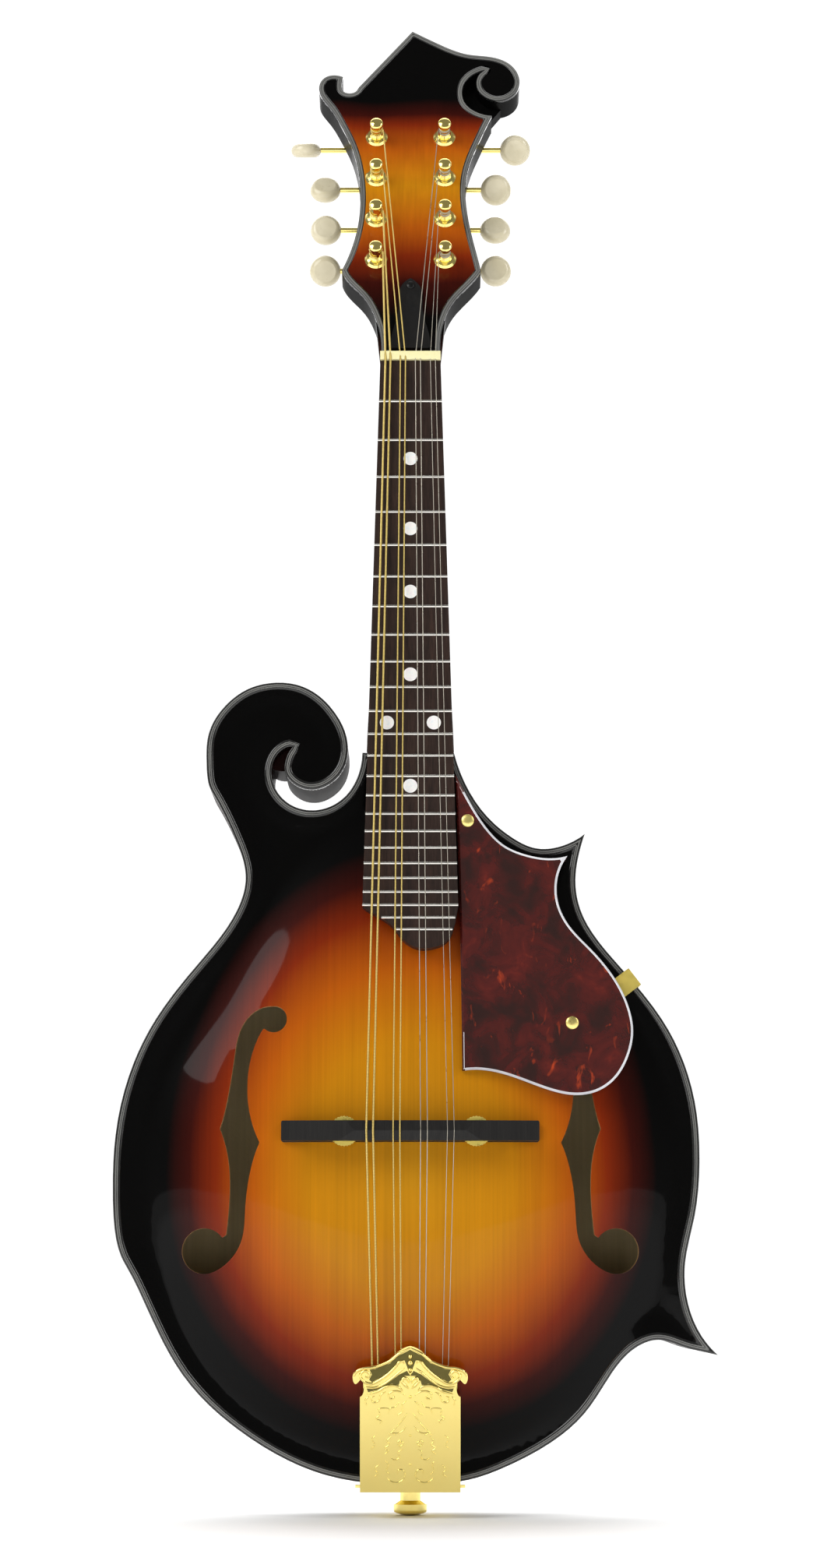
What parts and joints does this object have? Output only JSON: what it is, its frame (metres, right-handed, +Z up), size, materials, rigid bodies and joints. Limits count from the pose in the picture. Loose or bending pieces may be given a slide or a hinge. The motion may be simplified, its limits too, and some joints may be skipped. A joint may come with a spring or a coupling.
{
  "type": "mandolin",
  "caption": "Arched-top mandolin with a body scroll and points, f-holes, paired strings, geared tuners, height-adjustable bridge and sliding tailpiece cover.",
  "frame": {"origin": "on the fretboard's face at the front edge of the nut, where a neck hanger's yoke holds the instrument", "axes": "+Z up along the body and neck towards the headstock, -Y out of the front, +X to the treble side"},
  "size_m": [0.2633, 0.1029, 0.6956],
  "materials": {
    "sunburst_top": "clear gloss over an amber to black sunburst",
    "maple_back": "clear gloss over a dark sunburst",
    "ribs_black": "gloss black edge of the sunburst",
    "binding": "grey edge strip with black lines",
    "raw_spruce": "sanded",
    "neck_maple": "gloss, dark stain",
    "steel": "polished",
    "headstock_face": "gloss sunburst",
    "black_plastic": "gloss",
    "rosewood": "oiled",
    "fret_wire": "polished",
    "pearl": "polished",
    "bone": "polished",
    "ebony": "satin",
    "gold": "polished gold plate",
    "tortoiseshell": "polished",
    "cream_plastic": "moulded",
    "wound_string": "wound bronze",
    "plain_string": "drawn"
  },
  "bodies": {
    "root": {"soundboard": "sunburst_top", "back_plate": "maple_back", "ribs": "ribs_black", "top_binding": "binding", "back_binding": "binding", "linings": "raw_spruce", "head_block": "raw_spruce", "tail_block": "raw_spruce", "point_blocks": "raw_spruce", "tone_bars": "raw_spruce", "neck": "neck_maple", "truss_rod": "steel", "headstock_veneer": "headstock_face", "headstock_binding": "binding", "truss_rod_cover": "black_plastic", "fretboard": "rosewood", "frets": "fret_wire", "position_dots": "pearl", "nut": "bone", "bridge_base": "ebony", "bridge_posts": "gold", "tailpiece_base": "gold", "strap_button": "gold", "pickguard": "tortoiseshell", "pickguard_bracket": "gold", "tuner_plates": "gold", "wood_screws": "gold", "tuner_bushings": "gold", "strings_g": "wound_string", "strings_d": "wound_string", "strings_a": "plain_string", "strings_e": "plain_string"},
    "saddle": {"bridge_saddle": "ebony"},
    "bass_wheel": {"thumbwheel_bass": "gold"},
    "treble_wheel": {"thumbwheel_treble": "gold"},
    "cover": {"tailpiece_cover": "gold"},
    "tuner_1_knob": {"tuner_1_button": "cream_plastic", "tuner_1_worm_shaft": "gold"},
    "tuner_1_string_post": {"tuner_1_post": "gold"},
    "tuner_2_knob": {"tuner_2_button": "cream_plastic", "tuner_2_worm_shaft": "gold"},
    "tuner_2_string_post": {"tuner_2_post": "gold"},
    "tuner_3_knob": {"tuner_3_button": "cream_plastic", "tuner_3_worm_shaft": "gold"},
    "tuner_3_string_post": {"tuner_3_post": "gold"},
    "tuner_4_knob": {"tuner_4_button": "cream_plastic", "tuner_4_worm_shaft": "gold"},
    "tuner_4_string_post": {"tuner_4_post": "gold"},
    "tuner_5_knob": {"tuner_5_button": "cream_plastic", "tuner_5_worm_shaft": "gold"},
    "tuner_5_string_post": {"tuner_5_post": "gold"},
    "tuner_6_knob": {"tuner_6_button": "cream_plastic", "tuner_6_worm_shaft": "gold"},
    "tuner_6_string_post": {"tuner_6_post": "gold"},
    "tuner_7_knob": {"tuner_7_button": "cream_plastic", "tuner_7_worm_shaft": "gold"},
    "tuner_7_string_post": {"tuner_7_post": "gold"},
    "tuner_8_knob": {"tuner_8_button": "cream_plastic", "tuner_8_worm_shaft": "gold"},
    "tuner_8_string_post": {"tuner_8_post": "gold"}
  },
  "joints": [
    {"name": "bridge_height", "type": "slide", "parent": "root", "child": "saddle", "axis": [0, -1, 0], "range_m": [-0.002, 0]},
    {"name": "bass_wheel_turn", "type": "hinge", "parent": "saddle", "child": "bass_wheel", "pos_m": [-0.0285, -0.026, -0.35106], "axis": [0, -1, 0], "range_deg": [-900, 0]},
    {"name": "treble_wheel_turn", "type": "hinge", "parent": "saddle", "child": "treble_wheel", "pos_m": [0.0285, -0.026, -0.35106], "axis": [0, -1, 0], "range_deg": [-900, 0]},
    {"name": "cover_slide", "type": "slide", "parent": "root", "child": "cover", "axis": [0, -0.1711, 0.9853], "range_m": [0, 0.012]},
    {"name": "tuner_1_turn", "type": "hinge", "parent": "root", "child": "tuner_1_knob", "pos_m": [-0.016, 0.03631, 0.05418], "axis": [-1, 0, 0], "continuous": true},
    {"name": "tuner_1_post_turn", "type": "hinge", "parent": "root", "child": "tuner_1_string_post", "pos_m": [-0.016, 0.01817, 0.05367], "axis": [0, -0.9613, 0.2756], "continuous": true},
    {"name": "tuner_2_turn", "type": "hinge", "parent": "root", "child": "tuner_2_knob", "pos_m": [-0.016, 0.04265, 0.07629], "axis": [-1, 0, 0], "continuous": true},
    {"name": "tuner_2_post_turn", "type": "hinge", "parent": "root", "child": "tuner_2_string_post", "pos_m": [-0.016, 0.02451, 0.07577], "axis": [0, -0.9613, 0.2756], "continuous": true},
    {"name": "tuner_3_turn", "type": "hinge", "parent": "root", "child": "tuner_3_knob", "pos_m": [-0.016, 0.04899, 0.0984], "axis": [-1, 0, 0], "continuous": true},
    {"name": "tuner_3_post_turn", "type": "hinge", "parent": "root", "child": "tuner_3_string_post", "pos_m": [-0.016, 0.03085, 0.09788], "axis": [0, -0.9613, 0.2756], "continuous": true},
    {"name": "tuner_4_turn", "type": "hinge", "parent": "root", "child": "tuner_4_knob", "pos_m": [-0.016, 0.05533, 0.12051], "axis": [-1, 0, 0], "continuous": true},
    {"name": "tuner_4_post_turn", "type": "hinge", "parent": "root", "child": "tuner_4_string_post", "pos_m": [-0.016, 0.03719, 0.11999], "axis": [0, -0.9613, 0.2756], "continuous": true},
    {"name": "tuner_5_turn", "type": "hinge", "parent": "root", "child": "tuner_5_knob", "pos_m": [0.016, 0.03631, 0.05418], "axis": [1, 0, 0], "continuous": true},
    {"name": "tuner_5_post_turn", "type": "hinge", "parent": "root", "child": "tuner_5_string_post", "pos_m": [0.016, 0.01817, 0.05367], "axis": [0, -0.9613, 0.2756], "continuous": true},
    {"name": "tuner_6_turn", "type": "hinge", "parent": "root", "child": "tuner_6_knob", "pos_m": [0.016, 0.04265, 0.07629], "axis": [1, 0, 0], "continuous": true},
    {"name": "tuner_6_post_turn", "type": "hinge", "parent": "root", "child": "tuner_6_string_post", "pos_m": [0.016, 0.02451, 0.07577], "axis": [0, -0.9613, 0.2756], "continuous": true},
    {"name": "tuner_7_turn", "type": "hinge", "parent": "root", "child": "tuner_7_knob", "pos_m": [0.016, 0.04899, 0.0984], "axis": [1, 0, 0], "continuous": true},
    {"name": "tuner_7_post_turn", "type": "hinge", "parent": "root", "child": "tuner_7_string_post", "pos_m": [0.016, 0.03085, 0.09788], "axis": [0, -0.9613, 0.2756], "continuous": true},
    {"name": "tuner_8_turn", "type": "hinge", "parent": "root", "child": "tuner_8_knob", "pos_m": [0.016, 0.05533, 0.12051], "axis": [1, 0, 0], "continuous": true},
    {"name": "tuner_8_post_turn", "type": "hinge", "parent": "root", "child": "tuner_8_string_post", "pos_m": [0.016, 0.03719, 0.11999], "axis": [0, -0.9613, 0.2756], "continuous": true}
  ],
  "couplings": [
    {"joint": "bass_wheel_turn", "follows": "bridge_height", "rad_per_m": 7854},
    {"joint": "treble_wheel_turn", "follows": "bridge_height", "rad_per_m": 7854},
    {"joint": "tuner_1_post_turn", "follows": "tuner_1_turn", "ratio": -0.066667},
    {"joint": "tuner_2_post_turn", "follows": "tuner_2_turn", "ratio": -0.066667},
    {"joint": "tuner_3_post_turn", "follows": "tuner_3_turn", "ratio": -0.066667},
    {"joint": "tuner_4_post_turn", "follows": "tuner_4_turn", "ratio": -0.066667},
    {"joint": "tuner_5_post_turn", "follows": "tuner_5_turn", "ratio": 0.066667},
    {"joint": "tuner_6_post_turn", "follows": "tuner_6_turn", "ratio": 0.066667},
    {"joint": "tuner_7_post_turn", "follows": "tuner_7_turn", "ratio": 0.066667},
    {"joint": "tuner_8_post_turn", "follows": "tuner_8_turn", "ratio": 0.066667}
  ]
}
